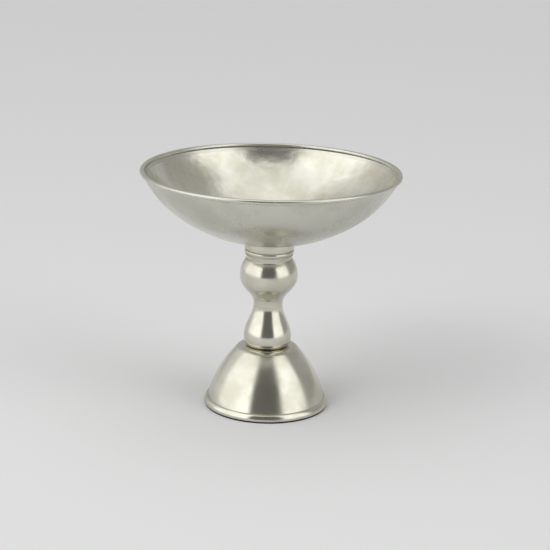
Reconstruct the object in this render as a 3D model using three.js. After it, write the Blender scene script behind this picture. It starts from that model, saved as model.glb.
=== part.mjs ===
// A footed flower bowl in nickel-plated brass: a shallow round bowl on a turned stem and a domed foot.
// The stem's pieces are stacked on one threaded rod, which is screwed into a boss under the bowl
// and drawn tight by a nut inside the foot.
// Sizes are in millimetres, +Z is up, and the origin is the centre of the felt ring's underside.

import * as THREE from "three";

// Bowl
const RIM_DIAMETER = 250;
const BOWL_HEIGHT = 69;
const BOWL_SHEET = 1.5;
const BOWL_FLAT_DIAMETER = 52;
const BOWL_LOWER_RADIUS = 155;
const BOWL_TURN = THREE.MathUtils.degToRad(35);
const RIM_WIRE_DIAMETER = 4.5;

// Boss under the bowl
const BOSS_DIAMETER = 28.6;
const BOSS_LENGTH = 17;
const BOSS_THREAD_DEPTH = 14.5;
const BOSS_CHAMFER = 0.8;

// Neck
const COLLAR_DIAMETER = 48.6;
const COLLAR_HEIGHT = 7.8;
const COLLAR_EDGE = 0.8;
const BEAD_DIAMETER = 48.2;
const BEAD_HEIGHT = 5.3;
const BEAD_FILLET = 1.4;

// Knop: the ball, with the cove above it
const KNOP_DIAMETER = 56.2;
const KNOP_HEIGHT = 52;
const KNOP_BALL_HEIGHT = 30.4;
const COVE_TOP_DIAMETER = 46.6;
const COVE_THROAT_DIAMETER = 43.8;
const COVE_HEIGHT = 5.4;
const KNOP_WALL = 3.5;
const KNOP_FLOOR = 9;
const KNOP_CORE_TURN = THREE.MathUtils.degToRad(-36);
const KNOP_NECK_HEIGHT = 2;
const KNOP_TAPER_LEAVE = 11;
const KNOP_TAPER_MEET = 14;
const COVE_LEAVE = 2.4;
const COVE_MEET = 0.4;

// Baluster: the pear-shaped length between the waist and the foot
const BALUSTER_DIAMETER = 46.4;
const BALUSTER_HEIGHT = 40.4;
const BALUSTER_SWELL_HEIGHT = 9;
const BALUSTER_SEAT_DIAMETER = 37;
const BALUSTER_WALL = 4;
const BALUSTER_CROWN = 15;
const BALUSTER_LEAVE = 12;
const BALUSTER_MEET = 10;
const BALUSTER_CORE_LEAVE = 16;
const BALUSTER_CORE_MEET = 2;
const WAIST_DIAMETER = 28.4;
const SPIGOT_DIAMETER = 18;
const SPIGOT_HEIGHT = 3;
const SPIGOT_CHAMFER = 0.5;

// Foot
const FOOT_DIAMETER = 122;
const FOOT_HEIGHT = 59;
const FOOT_SHEET = 1.5;
const FOOT_FLANK_RADIUS = 116;
const FOOT_LEAN = THREE.MathUtils.degToRad(11);
const FOOT_SHOULDER_RADIUS = 9;
const BAND_THICKNESS = 2.3;
const BAND_HEIGHT = 7;
const BAND_HEEL = 0.8;
const FELT_THICKNESS = 1;
const FELT_WIDTH = 3.4;
const FELT_INSET = 0.7;

// Fixings: an M8 rod with a wide washer, a split washer and a nut
const ROD_DIAMETER = 8;
const ROD_END_CHAMFER = 0.9;
const ROD_TAIL = 3.8;
const ROD_TIP_CLEARANCE = 0.6;
const WIDE_WASHER_DIAMETER = 30;
const WIDE_WASHER_THICKNESS = 2;
const SPLIT_WASHER_DIAMETER = 14.8;
const SPLIT_WASHER_THICKNESS = 2;
const SPLIT_WASHER_GAP = THREE.MathUtils.degToRad(12);
const NUT_ACROSS_FLATS = 13;
const NUT_HEIGHT = 6.5;

// Clearances
const SEAM = 0.1;
const SPIGOT_CLEARANCE = 0.25;
const SPIGOT_TIP_CLEARANCE = 0.3;
const ROD_CLEARANCE = 0.5;
const THREAD_CLEARANCE = 0.1;
const WASHER_CLEARANCE = 0.5;

// Sides of each turned piece
const BOWL_SIDES = 60;
const FOOT_SIDES = 52;
const STEM_SIDES = 36;
const FIXING_SIDES = 24;

// Heights of the stack, from the table upwards
const FOOT_BASE = FELT_THICKNESS + SEAM;
const FOOT_TOP = FOOT_BASE + FOOT_HEIGHT;
const BALUSTER_BASE = FOOT_TOP + SEAM;
const KNOP_BASE = BALUSTER_BASE + BALUSTER_HEIGHT + SEAM;
const BEAD_BASE = KNOP_BASE + KNOP_HEIGHT + SEAM;
const COLLAR_BASE = BEAD_BASE + BEAD_HEIGHT + SEAM;
const BOWL_BASE = COLLAR_BASE + COLLAR_HEIGHT + SEAM;

// Bores that several pieces share
const ROD_BORE = ROD_DIAMETER / 2 + ROD_CLEARANCE;
const THREAD_BORE = ROD_DIAMETER / 2 + THREAD_CLEARANCE;
const BOSS_BORE = BOSS_DIAMETER / 2 + SPIGOT_CLEARANCE;

const bowlNickel = new THREE.MeshStandardMaterial({ color: 0xc2beb0, roughness: 0.38, metalness: 1 });
const stemNickel = new THREE.MeshStandardMaterial({ color: 0xc6c1b1, roughness: 0.16, metalness: 1 });
const brass = new THREE.MeshStandardMaterial({ color: 0xb5924f, roughness: 0.35, metalness: 1 });
const steel = new THREE.MeshStandardMaterial({ color: 0xb9bcc0, roughness: 0.35, metalness: 1 });
const felt = new THREE.MeshStandardMaterial({ color: 0x2e2f31, roughness: 0.95, metalness: 0 });

// A point of a profile: its distance from the axis and its height.
function at(radius, height) {
  return new THREE.Vector2(radius, height);
}

// Points on a round stretch of a profile, its ends included.
function arc(centre, radius, from, to, steps) {
  return Array.from({ length: steps + 1 }, (_, i) => {
    const angle = from + ((to - from) * i) / steps;
    return at(centre.x + radius * Math.cos(angle), centre.y + radius * Math.sin(angle));
  });
}

// Points on an S-shaped stretch that leaves one point and meets the next parallel to the axis.
function ogee(start, end, leave, meet, steps) {
  const lower = at(start.x, start.y + leave);
  const upper = at(end.x, end.y - meet);
  return new THREE.CubicBezierCurve(start, lower, upper, end).getPoints(steps);
}

// A solid of revolution about Z. The profile runs up the outside and down the inside.
// It starts and ends on the axis, or else it is closed into a ring.
function turned(profile, sides) {
  const ring = profile[0].x > 0;
  const points = ring ? [...profile, profile[0].clone()] : profile;
  return new THREE.LatheGeometry(points, sides).rotateX(Math.PI / 2);
}

function piece(name, geometry, material, height) {
  const mesh = new THREE.Mesh(geometry, material);
  mesh.name = name;
  mesh.position.z = height;
  return mesh;
}

// The bowl's sheet follows two arcs that meet smoothly. The lower one is centred on the axis,
// and the upper one ends at the middle of the rim wire. Where a wide rim makes the upper arc
// flare outwards, its radius is negative.
function bowlCurve() {
  const half = BOWL_SHEET / 2;
  const lowerRadius = BOWL_LOWER_RADIUS - half;
  const lowerCentre = at(0, Math.sqrt(BOWL_LOWER_RADIUS ** 2 - (BOWL_FLAT_DIAMETER / 2) ** 2));
  const inward = at(-Math.sin(BOWL_TURN), Math.cos(BOWL_TURN));
  const turn = lowerCentre.clone().addScaledVector(inward, -lowerRadius);
  const wireRadius = RIM_WIRE_DIAMETER / 2;
  const wire = at(RIM_DIAMETER / 2 - wireRadius, BOWL_HEIGHT - wireRadius);
  const span = wire.clone().sub(turn);
  const upperRadius = span.lengthSq() / (2 * span.dot(inward));
  const upperCentre = turn.clone().addScaledVector(inward, upperRadius);
  const toWire = wire.clone().sub(upperCentre).divideScalar(upperRadius);
  const wireAngle = Math.atan2(toWire.y, toWire.x);
  const edgeAngle = wireAngle - (wireRadius + SEAM) / upperRadius;
  return { lowerCentre, lowerRadius, upperCentre, upperRadius, edgeAngle, wire, half };
}

// One face of the bowl's sheet, from its flat bottom out to its edge.
function bowlFace(side, flatHeight) {
  const { lowerCentre, lowerRadius, upperCentre, upperRadius, edgeAngle, half } = bowlCurve();
  const radius = lowerRadius + side * half;
  const flatAngle = Math.asin((flatHeight - lowerCentre.y) / radius);
  const turnAngle = BOWL_TURN - Math.PI / 2;
  const lower = arc(lowerCentre, radius, flatAngle, turnAngle, 6);
  const upper = arc(upperCentre, upperRadius + side * half, turnAngle, edgeAngle, 7);
  return [...lower, ...upper.slice(1)];
}

function bowlShell() {
  const outside = bowlFace(1, 0);
  const inside = bowlFace(-1, BOWL_SHEET);
  return turned([at(0, 0), ...outside, ...inside.reverse(), at(0, BOWL_SHEET)], BOWL_SIDES);
}

function rimWire() {
  const { wire } = bowlCurve();
  const section = arc(wire, RIM_WIRE_DIAMETER / 2, -Math.PI / 2, (3 * Math.PI) / 2, 8);
  return turned(section.slice(0, -1), BOWL_SIDES);
}

// The boss hangs from the bowl's flat: its top is at its full length, and its thread opens downwards.
function bowlBoss() {
  const radius = BOSS_DIAMETER / 2;
  return turned(
    [
      at(0, BOSS_THREAD_DEPTH),
      at(THREAD_BORE, BOSS_THREAD_DEPTH),
      at(THREAD_BORE, 0),
      at(radius - BOSS_CHAMFER, 0),
      at(radius, BOSS_CHAMFER),
      at(radius, BOSS_LENGTH),
      at(0, BOSS_LENGTH),
    ],
    STEM_SIDES,
  );
}

function neckCollar() {
  const radius = COLLAR_DIAMETER / 2;
  const lower = at(radius - COLLAR_EDGE, COLLAR_EDGE);
  const upper = at(radius - COLLAR_EDGE, COLLAR_HEIGHT - COLLAR_EDGE);
  return turned(
    [
      at(BOSS_BORE, 0),
      ...arc(lower, COLLAR_EDGE, -Math.PI / 2, 0, 2),
      ...arc(upper, COLLAR_EDGE, 0, Math.PI / 2, 2),
      at(BOSS_BORE, COLLAR_HEIGHT),
    ],
    STEM_SIDES,
  );
}

// A round bead between two narrow grooves.
function beadRing() {
  const groove = BEAD_DIAMETER / 2 - BEAD_FILLET;
  const middle = at(groove, BEAD_HEIGHT / 2);
  const reach = BEAD_HEIGHT / 2 - BEAD_FILLET / 2;
  const bead = arc(at(0, 0), 1, -Math.PI / 2, Math.PI / 2, 6).map((p) =>
    at(middle.x + p.x * BEAD_FILLET, middle.y + p.y * reach),
  );
  return turned(
    [at(BOSS_BORE, 0), at(groove, 0), ...bead, at(groove, BEAD_HEIGHT), at(BOSS_BORE, BEAD_HEIGHT)],
    STEM_SIDES,
  );
}

// The knop is a cored casting. It has a ball on an S-shaped taper, and a cove under its top face.
function stemKnop() {
  const radius = KNOP_DIAMETER / 2;
  const ball = at(0, KNOP_BALL_HEIGHT);
  const neck = at(WAIST_DIAMETER / 2, KNOP_NECK_HEIGHT);
  const throat = COVE_THROAT_DIAMETER / 2;
  const throatAngle = Math.acos(throat / radius);
  const throatHeight = KNOP_BALL_HEIGHT + radius * Math.sin(throatAngle);
  const coveBase = at(throat, Math.min(throatHeight, KNOP_HEIGHT - COVE_HEIGHT));
  const recess = SPIGOT_DIAMETER / 2 + SPIGOT_CLEARANCE;
  const recessDepth = SPIGOT_HEIGHT + SPIGOT_TIP_CLEARANCE;
  const hollow = radius - KNOP_WALL;
  const hollowTop = Math.acos(BOSS_BORE / hollow);
  return turned(
    [
      at(WAIST_DIAMETER / 2, 0),
      ...ogee(neck, at(radius, KNOP_BALL_HEIGHT), KNOP_TAPER_LEAVE, KNOP_TAPER_MEET, 9),
      ...arc(ball, radius, 0, Math.asin((coveBase.y - ball.y) / radius), 5).slice(1),
      ...ogee(coveBase, at(COVE_TOP_DIAMETER / 2, KNOP_HEIGHT), COVE_LEAVE, COVE_MEET, 3),
      at(BOSS_BORE, KNOP_HEIGHT),
      ...arc(ball, hollow, hollowTop, KNOP_CORE_TURN, 5),
      at(ROD_BORE, KNOP_FLOOR),
      at(ROD_BORE, recessDepth),
      at(recess, recessDepth),
      at(recess, 0),
    ],
    STEM_SIDES,
  );
}

// The baluster is cored from below, and its spigot locates the knop.
function stemBaluster() {
  const radius = BALUSTER_DIAMETER / 2;
  const seat = BALUSTER_SEAT_DIAMETER / 2;
  const spigot = SPIGOT_DIAMETER / 2;
  const swell = arc(at(0, 0), 1, -Math.PI / 2, 0, 4).map((p) =>
    at(seat + p.x * (radius - seat), BALUSTER_SWELL_HEIGHT + p.y * BALUSTER_SWELL_HEIGHT),
  );
  const waist = at(WAIST_DIAMETER / 2, BALUSTER_HEIGHT);
  const hollowTop = BALUSTER_HEIGHT - BALUSTER_CROWN;
  const coreBase = at(seat - BALUSTER_WALL, 0);
  const core = ogee(coreBase, at(ROD_BORE, hollowTop), BALUSTER_CORE_LEAVE, BALUSTER_CORE_MEET, 5);
  return turned(
    [
      ...swell,
      ...ogee(at(radius, BALUSTER_SWELL_HEIGHT), waist, BALUSTER_LEAVE, BALUSTER_MEET, 8).slice(1),
      at(spigot, BALUSTER_HEIGHT),
      at(spigot, BALUSTER_HEIGHT + SPIGOT_HEIGHT - SPIGOT_CHAMFER),
      at(spigot - SPIGOT_CHAMFER, BALUSTER_HEIGHT + SPIGOT_HEIGHT),
      at(ROD_BORE, BALUSTER_HEIGHT + SPIGOT_HEIGHT),
      at(ROD_BORE, hollowTop),
      ...core.reverse().slice(1),
    ],
    STEM_SIDES,
  );
}

// The foot's sheet has a long flank arc, a small shoulder arc and a flat top.
// The distance is how far inside the outer face the profile runs.
function footFace(distance) {
  const baseRadius = FOOT_DIAMETER / 2 - BAND_THICKNESS;
  const flankCentre = at(
    baseRadius - FOOT_FLANK_RADIUS * Math.cos(FOOT_LEAN),
    -FOOT_FLANK_RADIUS * Math.sin(FOOT_LEAN),
  );
  const shoulderHeight = FOOT_HEIGHT - FOOT_SHOULDER_RADIUS;
  const shoulderRise = shoulderHeight - flankCentre.y;
  const reach = FOOT_FLANK_RADIUS - FOOT_SHOULDER_RADIUS;
  const shoulder = at(flankCentre.x + Math.sqrt(reach ** 2 - shoulderRise ** 2), shoulderHeight);
  const meet = Math.atan2(shoulderRise, shoulder.x - flankCentre.x);
  const flankRadius = FOOT_FLANK_RADIUS - distance;
  const baseAngle = Math.asin(-flankCentre.y / flankRadius);
  return {
    flankCentre,
    flatRadius: shoulder.x,
    points: [
      ...arc(flankCentre, flankRadius, baseAngle, meet, 8),
      ...arc(shoulder, FOOT_SHOULDER_RADIUS - distance, meet, Math.PI / 2, 3).slice(1),
    ],
  };
}

function footDome() {
  const outside = footFace(0).points;
  const inside = footFace(FOOT_SHEET).points;
  return turned(
    [...outside, at(ROD_BORE, FOOT_HEIGHT), at(ROD_BORE, FOOT_HEIGHT - FOOT_SHEET), ...inside.reverse()],
    FOOT_SIDES,
  );
}

// The band's inner face follows the dome's flank, and its outer face rounds in towards the top.
function footBand() {
  const { flankCentre } = footFace(0);
  const innerRadius = FOOT_FLANK_RADIUS + SEAM;
  const from = Math.asin(-flankCentre.y / innerRadius);
  const to = Math.asin((BAND_HEIGHT - flankCentre.y) / innerRadius);
  const inner = arc(flankCentre, innerRadius, to, from, 2);
  const outerRadius = FOOT_DIAMETER / 2;
  const top = inner[0];
  const rounding = arc(at(0, 0), 1, 0, Math.PI / 2, 5).map((p) =>
    at(top.x + p.x * (outerRadius - top.x), BAND_HEEL + p.y * (BAND_HEIGHT - BAND_HEEL)),
  );
  return turned(
    [at(outerRadius - BAND_HEEL, 0), ...rounding.slice(0, -1), ...inner],
    FOOT_SIDES,
  );
}

function feltRing() {
  const outer = FOOT_DIAMETER / 2 - FELT_INSET;
  const inner = outer - FELT_WIDTH;
  return turned(
    [at(inner, 0), at(outer, 0), at(outer, FELT_THICKNESS), at(inner, FELT_THICKNESS)],
    FOOT_SIDES,
  );
}

// Heights of the fixings, down from the inside of the foot's top
const WIDE_WASHER_BASE = FOOT_TOP - FOOT_SHEET - SEAM - WIDE_WASHER_THICKNESS;
const SPLIT_WASHER_BASE = WIDE_WASHER_BASE - SEAM - SPLIT_WASHER_THICKNESS;
const NUT_BASE = SPLIT_WASHER_BASE - SEAM - NUT_HEIGHT;
const ROD_BASE = NUT_BASE - ROD_TAIL;
const BOSS_BASE = BOWL_BASE - SEAM - BOSS_LENGTH;
const ROD_LENGTH = BOSS_BASE + BOSS_THREAD_DEPTH - ROD_TIP_CLEARANCE - ROD_BASE;

function tieRod() {
  const radius = ROD_DIAMETER / 2;
  return turned(
    [
      at(0, 0),
      at(radius - ROD_END_CHAMFER, 0),
      at(radius, ROD_END_CHAMFER),
      at(radius, ROD_LENGTH - ROD_END_CHAMFER),
      at(radius - ROD_END_CHAMFER, ROD_LENGTH),
      at(0, ROD_LENGTH),
    ],
    FIXING_SIDES,
  );
}

// The washer is turned down where the flat inside the foot's top is narrower than it.
function wideWasher() {
  const outer = Math.min(WIDE_WASHER_DIAMETER / 2, footFace(FOOT_SHEET).flatRadius - WASHER_CLEARANCE);
  return turned(
    [
      at(ROD_BORE, 0),
      at(outer, 0),
      at(outer, WIDE_WASHER_THICKNESS),
      at(ROD_BORE, WIDE_WASHER_THICKNESS),
    ],
    FIXING_SIDES,
  );
}

// A ring with one cut through it, so that it springs against the nut.
function splitWasher() {
  const outline = new THREE.Shape();
  const from = SPLIT_WASHER_GAP / 2;
  const to = 2 * Math.PI - from;
  outline.absarc(0, 0, SPLIT_WASHER_DIAMETER / 2, from, to, false);
  outline.absarc(0, 0, ROD_BORE, to, from, true);
  outline.closePath();
  const options = { depth: SPLIT_WASHER_THICKNESS, bevelEnabled: false, curveSegments: FIXING_SIDES / 2 };
  return new THREE.ExtrudeGeometry(outline, options);
}

function hexNut() {
  const corner = NUT_ACROSS_FLATS / Math.sqrt(3);
  const outline = new THREE.Shape(
    Array.from({ length: 6 }, (_, i) => {
      const angle = (i * Math.PI) / 3;
      return at(corner * Math.cos(angle), corner * Math.sin(angle));
    }),
  );
  const hole = new THREE.Path();
  hole.absarc(0, 0, THREAD_BORE, 0, 2 * Math.PI, true);
  outline.holes.push(hole);
  const options = { depth: NUT_HEIGHT, bevelEnabled: false, curveSegments: FIXING_SIDES / 2 };
  return new THREE.ExtrudeGeometry(outline, options);
}

const flowerBowl = new THREE.Group();
flowerBowl.name = "flower_bowl";

const bowl = new THREE.Group();
bowl.add(
  piece("bowl_shell", bowlShell(), bowlNickel, BOWL_BASE),
  piece("rim_wire", rimWire(), bowlNickel, BOWL_BASE),
  piece("bowl_boss", bowlBoss(), brass, BOSS_BASE),
);

const stem = new THREE.Group();
stem.add(
  piece("neck_collar", neckCollar(), stemNickel, COLLAR_BASE),
  piece("bead_ring", beadRing(), stemNickel, BEAD_BASE),
  piece("stem_knop", stemKnop(), stemNickel, KNOP_BASE),
  piece("stem_baluster", stemBaluster(), stemNickel, BALUSTER_BASE),
);

const foot = new THREE.Group();
foot.add(
  piece("foot_dome", footDome(), stemNickel, FOOT_BASE),
  piece("foot_band", footBand(), stemNickel, FOOT_BASE),
  piece("felt_ring", feltRing(), felt, 0),
);

const fixings = new THREE.Group();
fixings.add(
  piece("tie_rod", tieRod(), steel, ROD_BASE),
  piece("wide_washer", wideWasher(), steel, WIDE_WASHER_BASE),
  piece("split_washer", splitWasher(), steel, SPLIT_WASHER_BASE),
  piece("hex_nut", hexNut(), steel, NUT_BASE),
);

flowerBowl.add(bowl, stem, foot, fixings);

export default flowerBowl;
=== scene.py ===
"""A footed flower bowl in nickel-plated brass, with its finishes, a pale floor and soft studio light.

Lengths are in metres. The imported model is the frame, and each turned piece is made again here
on a fine profile, at the place and size that its own node has in the frame.
"""

import logging
import math
from dataclasses import dataclass, field
from enum import Enum

import bpy
from mathutils import Euler, Matrix, Vector

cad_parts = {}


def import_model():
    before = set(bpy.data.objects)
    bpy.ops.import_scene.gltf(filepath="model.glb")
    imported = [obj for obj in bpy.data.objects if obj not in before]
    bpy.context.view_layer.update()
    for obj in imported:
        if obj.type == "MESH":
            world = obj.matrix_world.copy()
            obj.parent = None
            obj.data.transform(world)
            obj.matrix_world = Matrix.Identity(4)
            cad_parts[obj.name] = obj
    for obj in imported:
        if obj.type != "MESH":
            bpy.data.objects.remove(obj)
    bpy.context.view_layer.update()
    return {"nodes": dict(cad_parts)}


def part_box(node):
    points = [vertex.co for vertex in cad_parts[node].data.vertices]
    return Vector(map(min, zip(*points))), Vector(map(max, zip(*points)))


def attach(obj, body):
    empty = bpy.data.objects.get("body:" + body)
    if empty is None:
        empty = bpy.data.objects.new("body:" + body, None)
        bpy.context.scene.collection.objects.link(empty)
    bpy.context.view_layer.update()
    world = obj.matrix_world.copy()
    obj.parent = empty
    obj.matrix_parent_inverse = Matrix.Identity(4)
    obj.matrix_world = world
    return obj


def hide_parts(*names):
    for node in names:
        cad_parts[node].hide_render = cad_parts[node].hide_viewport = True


LOG = logging.getLogger("flower_bowl")
BODY = "root"
PHOTO_SIDE = 550

Point = tuple[float, float]
Profile = list[Point]


class Slot(Enum):
    """The material slots' names."""

    SATIN = "satin_nickel"
    POLISHED = "polished_nickel"
    BRASS = "bare_brass"
    STEEL = "zinc_steel"
    FELT = "felt"


def arc(centre: Point, radius: float, start: float, end: float, steps: int) -> Profile:
    """Points on a round stretch of a profile, its ends included.

    Args:
        centre: The arc's centre, as distance from the axis and height.
        radius: The arc's radius.
        start: The first point's angle in radians, from the outward direction.
        end: The last point's angle in radians.
        steps: The number of stretches between points.

    Returns:
        The points, each as distance from the axis and height.
    """
    angles = [start + (end - start) * i / steps for i in range(steps + 1)]
    return [(centre[0] + radius * math.cos(a), centre[1] + radius * math.sin(a)) for a in angles]


def ogee(start: Vector, end: Vector, leave: float, meet: float, steps: int) -> Profile:
    """Points on an S-shaped stretch that leaves and meets its ends parallel to the axis.

    Args:
        start: The lower end, as distance from the axis and height.
        end: The upper end.
        leave: How far the lower handle reaches up.
        meet: How far the upper handle reaches down.
        steps: The number of stretches between points.

    Returns:
        The points, each as distance from the axis and height.
    """
    handles = [start, start + Vector((0, leave)), end - Vector((0, meet)), end]
    points = []
    for i in range(steps + 1):
        t = i / steps
        weights = [(1 - t) ** 3, 3 * t * (1 - t) ** 2, 3 * t * t * (1 - t), t**3]
        point = sum((h * w for h, w in zip(handles, weights)), Vector((0.0, 0.0)))
        points.append((point.x, point.y))
    return points


class Lathe:
    """Turns a profile into a closed piece, in edit mode.

    The seed is the side of the plane that shrinks to the profile's first point. Points nearer
    than the weld are one, and edges sharper than the crease stay sharp.
    """

    SEED = 0.01
    WELD = 2e-7
    CREASE = math.radians(32)

    @classmethod
    def turn(cls, name: str, profile: Profile, height: float, steps: int) -> bpy.types.Object:
        """Spins a profile about the upright axis.

        Args:
            name: The piece's name.
            profile: Its points, up the outside and down the inside. It starts and ends on the
                axis, or it is closed into a ring.
            height: The height of the profile's own zero above the floor.
            steps: The number of sides.

        Returns:
            The finished piece, with its place in its mesh.
        """
        bpy.ops.object.select_all(action="DESELECT")
        bpy.ops.mesh.primitive_plane_add(size=cls.SEED)
        piece = bpy.context.object
        piece.name = name
        piece.data.name = name
        bpy.ops.object.mode_set(mode="EDIT")
        bpy.ops.mesh.select_all(action="SELECT")
        bpy.ops.mesh.merge(type="CENTER")
        points = [Vector((r, 0, z + height)) for r, z in profile]
        bpy.ops.transform.translate(value=points[0])
        for here, there in zip(points, points[1:]):
            bpy.ops.mesh.extrude_region_move(TRANSFORM_OT_translate={"value": there - here})
        if profile[0][0] > 0:
            bpy.ops.mesh.extrude_region_move(TRANSFORM_OT_translate={"value": points[0] - points[-1]})
        bpy.ops.mesh.select_all(action="SELECT")
        bpy.ops.mesh.remove_doubles(threshold=cls.WELD)
        bpy.ops.mesh.spin(steps=steps, angle=math.tau, center=(0, 0, 0), axis=(0, 0, 1))
        bpy.ops.mesh.select_all(action="SELECT")
        bpy.ops.mesh.remove_doubles(threshold=cls.WELD)
        bpy.ops.mesh.normals_make_consistent(inside=False)
        bpy.ops.object.mode_set(mode="OBJECT")
        bpy.ops.object.shade_smooth_by_angle(angle=cls.CREASE)
        return piece


@dataclass(frozen=True)
class Nickel:
    """A nickel plate: its tint, how worn it is, and the marks in it."""

    name: str
    tint: tuple[float, float, float]
    dull_tint: tuple[float, float, float]
    roughness: tuple[float, float]
    mottle_scale: float
    grain_scale: float
    grain_depth: float
    turning_scale: float
    turning_depth: float
    mottle_detail: float = 4.0
    mottle_spread: tuple[float, float] = (0.3, 0.7)
    grain_detail: float = 4.0
    turning_detail: float = 3.0

    def build(self) -> bpy.types.Material:
        """Makes the material.

        Returns:
            A metal whose tint, gloss and fine relief vary over the surface.
        """
        material = bpy.data.materials.new(self.name)
        material.use_nodes = True
        tree = material.node_tree
        shader = tree.nodes["Principled BSDF"]
        shader.inputs["Metallic"].default_value = 1.0
        place = tree.nodes.new("ShaderNodeTexCoord").outputs["Object"]
        self.tarnish(tree, place, shader)
        marks = self.turning_marks(tree, place)
        self.grain(tree, place, marks, shader)
        return material

    def tarnish(
        self,
        tree: bpy.types.NodeTree,
        place: bpy.types.NodeSocket,
        shader: bpy.types.Node,
    ) -> None:
        """Lets the tint and the gloss drift together in soft patches.

        Args:
            tree: The material's nodes.
            place: The place on the piece.
            shader: The metal's shader.
        """
        nodes, links = tree.nodes, tree.links
        mottle = nodes.new("ShaderNodeTexNoise")
        mottle.inputs["Scale"].default_value = self.mottle_scale
        mottle.inputs["Detail"].default_value = self.mottle_detail
        links.new(place, mottle.inputs["Vector"])
        spread = nodes.new("ShaderNodeMapRange")
        spread.interpolation_type = "SMOOTHSTEP"
        spread.inputs["From Min"].default_value = self.mottle_spread[0]
        spread.inputs["From Max"].default_value = self.mottle_spread[1]
        links.new(mottle.outputs["Fac"], spread.inputs["Value"])
        colour = nodes.new("ShaderNodeMix")
        colour.data_type = "RGBA"
        colour.inputs["A"].default_value = (*self.tint, 1)
        colour.inputs["B"].default_value = (*self.dull_tint, 1)
        links.new(spread.outputs["Result"], colour.inputs["Factor"])
        links.new(colour.outputs["Result"], shader.inputs["Base Color"])
        gloss = nodes.new("ShaderNodeMapRange")
        gloss.inputs["To Min"].default_value = self.roughness[0]
        gloss.inputs["To Max"].default_value = self.roughness[1]
        links.new(spread.outputs["Result"], gloss.inputs["Value"])
        links.new(gloss.outputs["Result"], shader.inputs["Roughness"])

    def turning_marks(
        self,
        tree: bpy.types.NodeTree,
        place: bpy.types.NodeSocket,
    ) -> bpy.types.NodeSocket:
        """Draws faint rings round the axis, as a lathe leaves them.

        Args:
            tree: The material's nodes.
            place: The place on the piece.

        Returns:
            The surface's direction with the rings in it.
        """
        nodes, links = tree.nodes, tree.links
        split = nodes.new("ShaderNodeSeparateXYZ")
        links.new(place, split.inputs["Vector"])
        level = nodes.new("ShaderNodeVectorMath")
        level.operation = "MULTIPLY"
        level.inputs[1].default_value = (1, 1, 0)
        links.new(place, level.inputs[0])
        reach = nodes.new("ShaderNodeVectorMath")
        reach.operation = "LENGTH"
        links.new(level.outputs["Vector"], reach.inputs[0])
        ring_place = nodes.new("ShaderNodeCombineXYZ")
        links.new(reach.outputs["Value"], ring_place.inputs["X"])
        links.new(split.outputs["Z"], ring_place.inputs["Y"])
        turning = nodes.new("ShaderNodeTexNoise")
        turning.inputs["Scale"].default_value = self.turning_scale
        turning.inputs["Detail"].default_value = self.turning_detail
        links.new(ring_place.outputs["Vector"], turning.inputs["Vector"])
        rings = nodes.new("ShaderNodeBump")
        rings.inputs["Strength"].default_value = 1.0
        rings.inputs["Distance"].default_value = self.turning_depth
        links.new(turning.outputs["Fac"], rings.inputs["Height"])
        return rings.outputs["Normal"]

    def grain(
        self,
        tree: bpy.types.NodeTree,
        place: bpy.types.NodeSocket,
        marks: bpy.types.NodeSocket,
        shader: bpy.types.Node,
    ) -> None:
        """Adds the plate's fine unevenness over the rings.

        Args:
            tree: The material's nodes.
            place: The place on the piece.
            marks: The surface's direction with the rings in it.
            shader: The metal's shader.
        """
        nodes, links = tree.nodes, tree.links
        grain = nodes.new("ShaderNodeTexNoise")
        grain.inputs["Scale"].default_value = self.grain_scale
        grain.inputs["Detail"].default_value = self.grain_detail
        links.new(place, grain.inputs["Vector"])
        relief = nodes.new("ShaderNodeBump")
        relief.inputs["Strength"].default_value = 1.0
        relief.inputs["Distance"].default_value = self.grain_depth
        links.new(grain.outputs["Fac"], relief.inputs["Height"])
        links.new(marks, relief.inputs["Normal"])
        links.new(relief.outputs["Normal"], shader.inputs["Normal"])


@dataclass(frozen=True)
class Plain:
    """A finish with a fine grain: zinc-plated steel, bare brass or felt."""

    name: str
    light: tuple[float, float, float]
    dark: tuple[float, float, float]
    metallic: float
    roughness: float
    grain_scale: float
    grain_depth: float
    grain_detail: float = 6.0

    def build(self) -> bpy.types.Material:
        """Makes the material.

        Returns:
            A material whose colour and relief follow one grain.
        """
        material = bpy.data.materials.new(self.name)
        material.use_nodes = True
        tree = material.node_tree
        shader = tree.nodes["Principled BSDF"]
        shader.inputs["Metallic"].default_value = self.metallic
        shader.inputs["Roughness"].default_value = self.roughness
        place = tree.nodes.new("ShaderNodeTexCoord").outputs["Object"]
        grain = tree.nodes.new("ShaderNodeTexNoise")
        grain.inputs["Scale"].default_value = self.grain_scale
        grain.inputs["Detail"].default_value = self.grain_detail
        tree.links.new(place, grain.inputs["Vector"])
        colour = tree.nodes.new("ShaderNodeMix")
        colour.data_type = "RGBA"
        colour.inputs["A"].default_value = (*self.light, 1)
        colour.inputs["B"].default_value = (*self.dark, 1)
        tree.links.new(grain.outputs["Fac"], colour.inputs["Factor"])
        tree.links.new(colour.outputs["Result"], shader.inputs["Base Color"])
        relief = tree.nodes.new("ShaderNodeBump")
        relief.inputs["Distance"].default_value = self.grain_depth
        tree.links.new(grain.outputs["Fac"], relief.inputs["Height"])
        tree.links.new(relief.outputs["Normal"], shader.inputs["Normal"])
        return material


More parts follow.
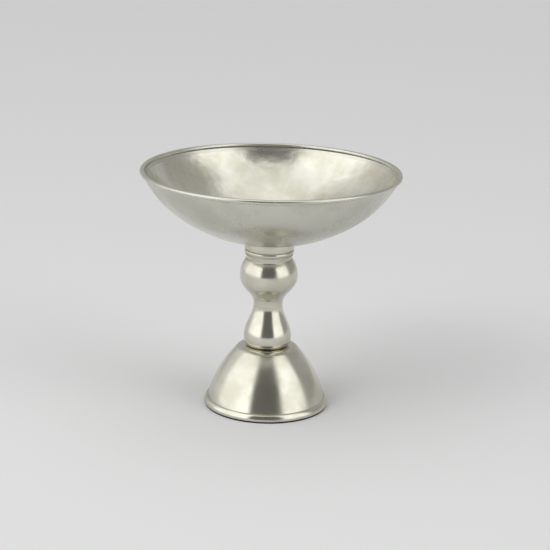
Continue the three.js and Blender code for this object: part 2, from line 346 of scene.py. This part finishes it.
SATIN_NICKEL = Nickel(
    name="satin_nickel_plate",
    tint=(0.66, 0.657, 0.585),
    dull_tint=(0.56, 0.553, 0.48),
    roughness=(0.24, 0.34),
    mottle_scale=24.0,
    grain_scale=420.0,
    grain_depth=0.000015,
    turning_scale=700.0,
    turning_depth=0.000008,
)
# The inner face's tint is lighter than the satin outer face's. This is painted light: the same nickel
# plate, made brighter for the light that falls into the bowl. The dents, gloss and mottle are the
# planished finish.
PLANISHED_NICKEL_PAINTED_BRIGHT = Nickel(
    name="planished_nickel_plate_painted_bright",
    tint=(0.755, 0.748, 0.66),
    dull_tint=(0.61, 0.59, 0.48),
    roughness=(0.20, 0.30),
    mottle_scale=34.0,
    grain_scale=170.0,
    grain_depth=0.00012,
    turning_scale=260.0,
    turning_depth=0.00001,
)
POLISHED_NICKEL = Nickel(
    name="polished_nickel_plate",
    tint=(0.715, 0.702, 0.61),
    dull_tint=(0.595, 0.575, 0.48),
    roughness=(0.14, 0.25),
    mottle_scale=38.0,
    grain_scale=420.0,
    grain_depth=0.00002,
    turning_scale=900.0,
    turning_depth=0.00001,
)
BARE_BRASS = Plain(
    name="turned_brass",
    light=(0.66, 0.47, 0.20),
    dark=(0.52, 0.36, 0.15),
    metallic=1.0,
    roughness=0.34,
    grain_scale=180.0,
    grain_depth=0.00002,
)
ZINC_STEEL = Plain(
    name="zinc_steel",
    light=(0.52, 0.54, 0.56),
    dark=(0.38, 0.40, 0.42),
    metallic=1.0,
    roughness=0.36,
    grain_scale=260.0,
    grain_depth=0.00002,
)
WOOL_FELT = Plain(
    name="wool_felt",
    light=(0.035, 0.036, 0.040),
    dark=(0.012, 0.012, 0.014),
    metallic=0.0,
    roughness=0.95,
    grain_scale=1500.0,
    grain_depth=0.0004,
)


def dress(piece: bpy.types.Object, material: bpy.types.Material) -> None:
    """Gives a piece its one material.

    Args:
        piece: The piece.
        material: Its finish.
    """
    piece.data.materials.clear()
    piece.data.materials.append(material)


def seat(piece: bpy.types.Object, node: str) -> None:
    """Lets a made piece stand for its node and ride with it.

    Args:
        piece: The finished piece.
        node: The node that it stands for.
    """
    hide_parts(node)
    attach(piece, BODY)
    LOG.info("%s: %d faces", piece.name, len(piece.data.polygons))


@dataclass(frozen=True)
class SheetCurve:
    """The two arcs that the middle of the bowl's sheet follows, over the bowl's underside."""

    floor: float
    lower_centre: Point
    lower_radius: float
    upper_centre: Point
    upper_radius: float
    edge_angle: float
    wire_centre: Point


@dataclass
class BowlTop:
    """The spun bowl with the wire round its rim."""

    sheet: float = 0.0015
    flat_diameter: float = 0.052
    lower_radius: float = 0.155
    turn: float = math.radians(35)
    wire_diameter: float = 0.0045
    seam: float = 0.0001
    sides: int = 420
    outer_steps: int = 22
    inner_steps: int = 44
    wire_sides: int = 28
    dent_size: float = 0.0085
    dent_depth: float = 0.0002
    tolerance: float = 1e-6

    def curve(self) -> SheetCurve:
        """Works out the two arcs from the bowl's sizes and the frame's rim wire.

        Returns:
            The arcs, the angle where the sheet ends and the wire's centre.
        """
        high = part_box("rim_wire")[1]
        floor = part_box("bowl_shell")[0].z
        lower_radius = self.lower_radius - self.sheet / 2
        rise = math.sqrt(self.lower_radius**2 - (self.flat_diameter / 2) ** 2)
        inward = Vector((-math.sin(self.turn), math.cos(self.turn)))
        turn = Vector((0, rise)) - inward * lower_radius
        wire_radius = self.wire_diameter / 2
        wire = Vector((high.x - wire_radius, high.z - wire_radius - floor))
        span = wire - turn
        upper_radius = span.length_squared / (2 * span.dot(inward))
        upper = turn + inward * upper_radius
        wire_angle = math.atan2(wire.y - upper.y, wire.x - upper.x)
        return SheetCurve(
            floor=floor,
            lower_centre=(0.0, rise),
            lower_radius=lower_radius,
            upper_centre=(upper.x, upper.y),
            upper_radius=upper_radius,
            edge_angle=wire_angle - (wire_radius + self.seam) / upper_radius,
            wire_centre=(wire.x, wire.y),
        )

    def face(self, side: int, flat_height: float, steps: int) -> Profile:
        """One face of the sheet, from the flat floor out to the edge.

        Args:
            side: 1 for the outer face and -1 for the inner one.
            flat_height: The flat's height above the bowl's underside.
            steps: The number of stretches on each of the two arcs.

        Returns:
            The face's points.
        """
        curve = self.curve()
        radius = curve.lower_radius + side * self.sheet / 2
        flat_angle = math.asin((flat_height - curve.lower_centre[1]) / radius)
        turn_angle = self.turn - math.pi / 2
        lower = arc(curve.lower_centre, radius, flat_angle, turn_angle, steps)
        upper_radius = curve.upper_radius + side * self.sheet / 2
        upper = arc(curve.upper_centre, upper_radius, turn_angle, curve.edge_angle, steps)
        return lower + upper[1:]

    def inner_points(self, shell: bpy.types.Object) -> set[int]:
        """Finds the points of the inner face, short of its edge.

        Args:
            shell: The spun bowl.

        Returns:
            The points' numbers.
        """
        curve = self.curve()
        turn_reach = curve.lower_radius * math.sin(self.turn)
        edge_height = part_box("bowl_shell")[1].z - 2 * self.sheet
        inner = set()
        for vertex in shell.data.vertices:
            reach = math.hypot(vertex.co.x, vertex.co.y)
            height = vertex.co.z - curve.floor
            centre, radius = curve.upper_centre, curve.upper_radius
            if reach < turn_reach:
                centre, radius = curve.lower_centre, curve.lower_radius
            depth = radius - math.hypot(reach - centre[0], height - centre[1])
            curved = abs(depth - self.sheet / 2) < self.sheet / 10 and vertex.co.z < edge_height
            flat = abs(height - self.sheet) < self.tolerance
            if curved or flat:
                inner.add(vertex.index)
        return inner

    def planish(self, shell: bpy.types.Object, inner: set[int]) -> None:
        """Dents the inner face lightly all over.

        Args:
            shell: The spun bowl.
            inner: The numbers of the inner face's points.
        """
        group = shell.vertex_groups.new(name="inner_face")
        group.add(sorted(inner), 1.0, "REPLACE")
        dents = bpy.data.textures.new("planishing", "VORONOI")
        dents.noise_scale = self.dent_size
        bpy.context.view_layer.objects.active = shell
        push = shell.modifiers.new("planishing", "DISPLACE")
        push.texture = dents
        push.texture_coords = "LOCAL"
        push.vertex_group = group.name
        push.mid_level = 0.5
        push.strength = self.dent_depth
        bpy.ops.object.modifier_apply(modifier=push.name)
        shell.vertex_groups.clear()

    def build_shell(self, outer: bpy.types.Material, inner: bpy.types.Material) -> bpy.types.Object:
        """Spins the bowl's sheet, planishes its inner face and dresses both faces.

        Args:
            outer: The outer face's finish.
            inner: The inner face's finish, whose lighter tint is painted light.

        Returns:
            The finished shell.
        """
        outside = self.face(1, 0.0, self.outer_steps)
        inside = self.face(-1, self.sheet, self.inner_steps)
        profile = [(0.0, 0.0), *outside, *reversed(inside), (0.0, self.sheet)]
        shell = Lathe.turn("bowl_sheet", profile, self.curve().floor, self.sides)
        inner_points = self.inner_points(shell)
        self.planish(shell, inner_points)
        shell.data.materials.append(outer)
        shell.data.materials.append(inner)
        for face in shell.data.polygons:
            if all(vertex in inner_points for vertex in face.vertices):
                face.material_index = 1
        return shell

    def build_wire(self) -> bpy.types.Object:
        """Spins the round wire at the sheet's edge.

        Returns:
            The wire, not yet dressed.
        """
        curve = self.curve()
        radius = self.wire_diameter / 2
        section = arc(curve.wire_centre, radius, -math.pi / 2, 1.5 * math.pi, self.wire_sides)
        return Lathe.turn("rim_bead", section[:-1], curve.floor, self.sides)

    def build(self, outer: bpy.types.Material, inner: bpy.types.Material) -> None:
        """Makes and dresses the bowl and its rim.

        Args:
            outer: The finish of the outer face and the rim.
            inner: The inner face's finish, whose lighter tint is painted light.
        """
        seat(self.build_shell(outer, inner), "bowl_shell")
        wire = self.build_wire()
        dress(wire, outer)
        seat(wire, "rim_wire")


@dataclass
class Stem:
    """The collar, bead, ball knop and pear-shaped baluster, stacked on the rod."""

    sides: int = 192
    bore: float = 0.01455
    rod_bore: float = 0.0045
    collar_edge: float = 0.0008
    bead_fillet: float = 0.0014
    ball_height: float = 0.0304
    throat_diameter: float = 0.0438
    cove_top_diameter: float = 0.0466
    cove_height: float = 0.0054
    cove_leave: float = 0.0024
    cove_meet: float = 0.0004
    waist_diameter: float = 0.0284
    waist_height: float = 0.002
    taper_leave: float = 0.011
    taper_meet: float = 0.014
    spigot_diameter: float = 0.018
    spigot_height: float = 0.003
    seat_diameter: float = 0.037
    swell_height: float = 0.009
    pear_leave: float = 0.012
    pear_meet: float = 0.010
    edge_steps: int = 8
    cove_steps: int = 14
    swell_steps: int = 18
    round_steps: int = 24
    long_steps: int = 40

    def collar(self) -> Profile:
        """The plain collar, with its two edges rounded.

        Returns:
            The collar's points, as a closed ring.
        """
        low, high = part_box("neck_collar")
        radius, height, edge = high.x, high.z - low.z, self.collar_edge
        return [
            (self.bore, 0.0),
            *arc((radius - edge, edge), edge, -math.pi / 2, 0, self.edge_steps),
            *arc((radius - edge, height - edge), edge, 0, math.pi / 2, self.edge_steps),
            (self.bore, height),
        ]

    def bead(self) -> Profile:
        """The round bead between its two grooves.

        Returns:
            The bead's points, as a closed ring.
        """
        low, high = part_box("bead_ring")
        height = high.z - low.z
        groove = high.x - self.bead_fillet
        reach = height / 2 - self.bead_fillet / 2
        round_face = [
            (groove + x * self.bead_fillet, height / 2 + z * reach)
            for x, z in arc((0, 0), 1, -math.pi / 2, math.pi / 2, self.round_steps)
        ]
        return [(self.bore, 0.0), (groove, 0.0), *round_face, (groove, height), (self.bore, height)]

    def knop(self) -> Profile:
        """The taper up from the waist, the ball and the cove.

        Returns:
            The knop's points, as a closed ring with its bores inside.
        """
        low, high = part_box("stem_knop")
        radius, height = high.x, high.z - low.z
        waist = self.waist_diameter / 2
        throat = self.throat_diameter / 2
        throat_height = self.ball_height + math.sqrt(radius**2 - throat**2)
        neck = Vector((waist, self.waist_height))
        widest = Vector((radius, self.ball_height))
        cove = Vector((throat, min(throat_height, height - self.cove_height)))
        rim = Vector((self.cove_top_diameter / 2, height))
        taper = ogee(neck, widest, self.taper_leave, self.taper_meet, self.long_steps)
        top = math.asin((cove.y - self.ball_height) / radius)
        ball = arc((0, self.ball_height), radius, 0, top, self.round_steps)
        hollow = ogee(cove, rim, self.cove_leave, self.cove_meet, self.cove_steps)
        return [
            (waist, 0.0),
            *taper,
            *ball[1:],
            *hollow,
            (self.bore, height),
            (self.bore, height - self.spigot_height),
            (self.rod_bore, height - self.spigot_height),
            (self.rod_bore, self.spigot_height),
            (self.spigot_diameter / 2, self.spigot_height),
            (self.spigot_diameter / 2, 0.0),
        ]

    def baluster(self) -> Profile:
        """The pear, from its seat on the foot up to the waist.

        Returns:
            The baluster's points, as a closed ring round the rod's bore.
        """
        low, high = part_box("stem_baluster")
        radius = high.x
        seat_radius = self.seat_diameter / 2
        height = high.z - low.z - self.spigot_height
        swell = [
            (seat_radius + x * (radius - seat_radius), self.swell_height * (1 + z))
            for x, z in arc((0, 0), 1, -math.pi / 2, 0, self.swell_steps)
        ]
        start = Vector((radius, self.swell_height))
        waist = Vector((self.waist_diameter / 2, height))
        rise = ogee(start, waist, self.pear_leave, self.pear_meet, self.long_steps)
        return [*swell, *rise[1:], (self.rod_bore, height), (self.rod_bore, 0.0)]

    def build(self, finish: bpy.types.Material) -> None:
        """Makes and dresses the stem's four pieces.

        Args:
            finish: The finish of all four.
        """
        for name, node, profile in (
            ("neck_sleeve", "neck_collar", self.collar()),
            ("neck_bead", "bead_ring", self.bead()),
            ("ball_knop", "stem_knop", self.knop()),
            ("pear_baluster", "stem_baluster", self.baluster()),
        ):
            piece = Lathe.turn(name, profile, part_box(node)[0].z, self.sides)
            dress(piece, finish)
            seat(piece, node)


@dataclass
class Foot:
    """The domed foot and the band round its lower edge."""

    sides: int = 240
    sheet: float = 0.0015
    flank_radius: float = 0.116
    lean: float = math.radians(11)
    shoulder_radius: float = 0.009
    band_heel: float = 0.0008
    rod_bore: float = 0.0045
    seam: float = 0.0001
    flank_steps: int = 40
    shoulder_steps: int = 16
    band_steps: int = 20
    seat_steps: int = 10
    flank_centre: Point = field(init=False)

    def __post_init__(self) -> None:
        """Places the flank's centre from the dome's own base."""
        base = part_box("foot_dome")[1].x
        across = base - self.flank_radius * math.cos(self.lean)
        self.flank_centre = (across, -self.flank_radius * math.sin(self.lean))

    def face(self, inset: float, height: float) -> Profile:
        """One face of the dome's sheet.

        Args:
            inset: How far inside the outer face it runs.
            height: The dome's height.

        Returns:
            The face's points from the base to the flat top.
        """
        across, drop = self.flank_centre
        shoulder_height = height - self.shoulder_radius
        rise = shoulder_height - drop
        reach = self.flank_radius - self.shoulder_radius
        shoulder = (across + math.sqrt(reach**2 - rise**2), shoulder_height)
        meet = math.atan2(rise, shoulder[0] - across)
        radius = self.flank_radius - inset
        base = math.asin(-drop / radius)
        flank = arc(self.flank_centre, radius, base, meet, self.flank_steps)
        corner = self.shoulder_radius - inset
        return flank + arc(shoulder, corner, meet, math.pi / 2, self.shoulder_steps)[1:]

    def dome(self) -> Profile:
        """The dome's sheet, with the rod's hole in its flat top.

        Returns:
            The dome's points, as a closed ring of the sheet's thickness.
        """
        low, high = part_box("foot_dome")
        height = high.z - low.z
        inside = self.face(self.sheet, height)
        hole = [(self.rod_bore, height), (self.rod_bore, height - self.sheet)]
        return [*self.face(0.0, height), *hole, *reversed(inside)]

    def band(self) -> Profile:
        """The band, whose inner face follows the dome's flank.

        Returns:
            The band's points, as a closed ring.
        """
        low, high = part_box("foot_band")
        height, outer = high.z - low.z, high.x
        across, drop = self.flank_centre
        radius = self.flank_radius + self.seam
        inner = arc(
            self.flank_centre,
            radius,
            math.asin((height - drop) / radius),
            math.asin(-drop / radius),
            self.seat_steps,
        )
        top = inner[0][0]
        rounding = [
            (top + x * (outer - top), self.band_heel + z * (height - self.band_heel))
            for x, z in arc((0, 0), 1, 0, math.pi / 2, self.band_steps)
        ]
        return [(outer - self.band_heel, 0.0), *rounding[:-1], *inner]

    def build(self, finish: bpy.types.Material) -> None:
        """Makes and dresses the foot's two pieces.

        Args:
            finish: The finish of both.
        """
        for name, node, profile in (
            ("dome", "foot_dome", self.dome()),
            ("base_band", "foot_band", self.band()),
        ):
            piece = Lathe.turn(name, profile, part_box(node)[0].z, self.sides)
            dress(piece, finish)
            seat(piece, node)


class Fixings:
    """The rod, washers, nut, boss and felt, which keep their own shapes."""

    STEEL_NODES = ("tie_rod", "wide_washer", "split_washer", "hex_nut")

    def build(self, nodes: dict[str, bpy.types.Object]) -> None:
        """Dresses the nodes that stay as they are.

        Args:
            nodes: The frame's nodes by name.
        """
        steel = ZINC_STEEL.build()
        for name in self.STEEL_NODES:
            dress(nodes[name], steel)
            LOG.info("%s: dressed in steel", name)
        dress(nodes["bowl_boss"], BARE_BRASS.build())
        LOG.info("bowl_boss: dressed in brass")
        dress(nodes["felt_ring"], WOOL_FELT.build())
        LOG.info("felt_ring: dressed in felt")


@dataclass
class Studio:
    """The floor, the light and the camera.

    The azimuth levels are the room's light by direction, in degrees from straight in front of the
    bowl, and positive to the right. The focal length and the target's place are in pixels of the
    photograph's square frame.
    """

    floor_side: float = 30.0
    floor_level: float = 0.67
    floor_roughness: float = 0.9
    backdrop_level: float = 0.66
    world_strength: float = 2.0
    lamp_side: float = 0.9
    key_power: float = 12.0
    key_place: tuple[float, float, float] = (-1.3, -1.1, 1.7)
    fill_power: float = 4.0
    fill_place: tuple[float, float, float] = (1.6, -0.9, 1.2)
    target_height: float = 0.11825
    distance: float = 1.616
    elevation: float = math.radians(16.77)
    roll: float = math.radians(1.43)
    focal_px: float = 1664.6
    target_px: tuple[float, float] = (268.76, 287.28)
    sensor: float = 36.0
    azimuth_levels: tuple[tuple[float, float], ...] = (
        (-180, 0.48),
        (-146, 0.50),
        (-132, 0.72),
        (-112, 0.86),
        (-104, 1.35),
        (-36, 1.55),
        (-27, 0.16),
        (29, 0.14),
        (38, 1.55),
        (84, 1.30),
        (92, 0.38),
        (126, 0.42),
        (142, 0.50),
        (179, 0.48),
    )
    overhead_level: float = 1.12
    overhead_from: float = math.radians(52)
    overhead_to: float = math.radians(66)

    def build_floor(self) -> None:
        """Lays the plain pale floor."""
        bpy.ops.object.select_all(action="DESELECT")
        bpy.ops.mesh.primitive_plane_add(size=self.floor_side)
        floor = bpy.context.object
        floor.name = "floor"
        material = bpy.data.materials.new("pale_floor")
        material.use_nodes = True
        shader = material.node_tree.nodes["Principled BSDF"]
        shader.inputs["Base Color"].default_value = (*[self.floor_level] * 3, 1)
        shader.inputs["Roughness"].default_value = self.floor_roughness
        floor.data.materials.append(material)

    def grey(self, level: float) -> tuple[float, float, float, float]:
        """The colour that gives a level at the world's strength."""
        shade = level / self.world_strength
        return (shade, shade, shade, 1)

    def build_world(self) -> None:
        """Paints the room by direction: soft lights on both sides, a dark middle, a pale ceiling."""
        world = bpy.data.worlds.new("studio")
        bpy.context.scene.world = world
        world.use_nodes = True
        tree = world.node_tree
        split = tree.nodes.new("ShaderNodeSeparateXYZ")
        coordinates = tree.nodes.new("ShaderNodeTexCoord")
        tree.links.new(coordinates.outputs["Generated"], split.inputs["Vector"])
        walls = self.paint_walls(tree, split)
        room = self.paint_ceiling(tree, split, walls)
        self.show_backdrop(tree, room)
        tree.nodes["Background"].inputs["Strength"].default_value = self.world_strength

    def paint_walls(self, tree: bpy.types.NodeTree, split: bpy.types.Node) -> bpy.types.NodeSocket:
        """Paints the levels round the room, from the direction that faces the bowl's front.

        Args:
            tree: The world's nodes.
            split: The direction, as three numbers.

        Returns:
            The walls' colour.
        """
        nodes, links = tree.nodes, tree.links
        front = nodes.new("ShaderNodeMath")
        front.operation = "MULTIPLY"
        front.inputs[1].default_value = -1.0
        links.new(split.outputs["Y"], front.inputs[0])
        turn = nodes.new("ShaderNodeMath")
        turn.operation = "ARCTAN2"
        links.new(split.outputs["X"], turn.inputs[0])
        links.new(front.outputs["Value"], turn.inputs[1])
        share = nodes.new("ShaderNodeMapRange")
        share.inputs["From Min"].default_value = -math.pi
        share.inputs["From Max"].default_value = math.pi
        links.new(turn.outputs["Value"], share.inputs["Value"])
        levels = nodes.new("ShaderNodeValToRGB")
        ramp = levels.color_ramp
        made = len(ramp.elements)
        for i, (angle, level) in enumerate(self.azimuth_levels):
            place = (angle + 180) / 360
            stop = ramp.elements[i] if i < made else ramp.elements.new(place)
            stop.position = place
            stop.color = self.grey(level)
        links.new(share.outputs["Result"], levels.inputs["Fac"])
        return levels.outputs["Color"]

    def paint_ceiling(
        self,
        tree: bpy.types.NodeTree,
        split: bpy.types.Node,
        walls: bpy.types.NodeSocket,
    ) -> bpy.types.NodeSocket:
        """Lets the walls fade into one pale level overhead.

        Args:
            tree: The world's nodes.
            split: The direction, as three numbers.
            walls: The walls' colour.

        Returns:
            The whole room's colour.
        """
        nodes, links = tree.nodes, tree.links
        lift = nodes.new("ShaderNodeMapRange")
        lift.interpolation_type = "SMOOTHSTEP"
        lift.inputs["From Min"].default_value = math.sin(self.overhead_from)
        lift.inputs["From Max"].default_value = math.sin(self.overhead_to)
        links.new(split.outputs["Z"], lift.inputs["Value"])
        room = nodes.new("ShaderNodeMix")
        room.data_type = "RGBA"
        room.inputs["B"].default_value = self.grey(self.overhead_level)
        links.new(lift.outputs["Result"], room.inputs["Factor"])
        links.new(walls, room.inputs["A"])
        return room.outputs["Result"]

    def show_backdrop(self, tree: bpy.types.NodeTree, room: bpy.types.NodeSocket) -> None:
        """Gives the camera a plain backdrop in place of the room.

        Args:
            tree: The world's nodes.
            room: The room's colour, which lights the bowl.
        """
        nodes, links = tree.nodes, tree.links
        seen = nodes.new("ShaderNodeMix")
        seen.data_type = "RGBA"
        seen.inputs["B"].default_value = self.grey(self.backdrop_level)
        links.new(nodes.new("ShaderNodeLightPath").outputs["Is Camera Ray"], seen.inputs["Factor"])
        links.new(room, seen.inputs["A"])
        links.new(seen.outputs["Result"], nodes["Background"].inputs["Color"])

    def build_lamp(self, name: str, power: float, place: tuple[float, float, float]) -> None:
        """Hangs one square soft lamp that points at the bowl.

        Args:
            name: The lamp's name.
            power: Its power in watts.
            place: Where it hangs.
        """
        data = bpy.data.lights.new(name, "AREA")
        data.energy = power
        data.size = self.lamp_side
        lamp = bpy.data.objects.new(name, data)
        lamp.location = place
        aim = Vector((0, 0, self.target_height)) - Vector(place)
        lamp.rotation_euler = aim.to_track_quat("-Z", "Y").to_euler()
        lamp.visible_glossy = False
        bpy.context.scene.collection.objects.link(lamp)

    def build_camera(self) -> None:
        """Stands the camera where the photograph was taken, with its small roll and offset."""
        data = bpy.data.cameras.new("camera")
        data.sensor_width = self.sensor
        data.lens = self.focal_px / PHOTO_SIDE * self.sensor
        camera = bpy.data.objects.new("camera", data)
        bpy.context.scene.collection.objects.link(camera)
        target = Vector((0, 0, self.target_height))
        away = Vector((0, -math.cos(self.elevation), math.sin(self.elevation)))
        place = target + away * self.distance
        look = (-away).to_track_quat("-Z", "Y").to_matrix()
        across = math.atan((PHOTO_SIDE / 2 - self.target_px[0]) / self.focal_px)
        down = math.atan((self.target_px[1] - PHOTO_SIDE / 2) / self.focal_px)
        lean = Matrix.Rotation(self.roll, 3, "Z")
        offset = Euler((down, -across, 0)).to_matrix()
        camera.matrix_world = Matrix.Translation(place) @ (look @ offset @ lean).to_4x4()
        bpy.context.scene.camera = camera

    def build(self) -> None:
        """Makes the whole studio."""
        bpy.context.scene.view_settings.view_transform = "Standard"
        self.build_camera()
        self.build_floor()
        self.build_world()
        self.build_lamp("key", self.key_power, self.key_place)
        self.build_lamp("fill", self.fill_power, self.fill_place)


def main() -> None:
    """Builds the studio and each part of the bowl round the frame."""
    logging.basicConfig(level=logging.INFO)
    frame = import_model()
    Studio().build()
    BowlTop().build(SATIN_NICKEL.build(), PLANISHED_NICKEL_PAINTED_BRIGHT.build())
    polished = POLISHED_NICKEL.build()
    Stem().build(polished)
    Foot().build(polished)
    Fixings().build(frame["nodes"])


if __name__ == "__main__":
    main()
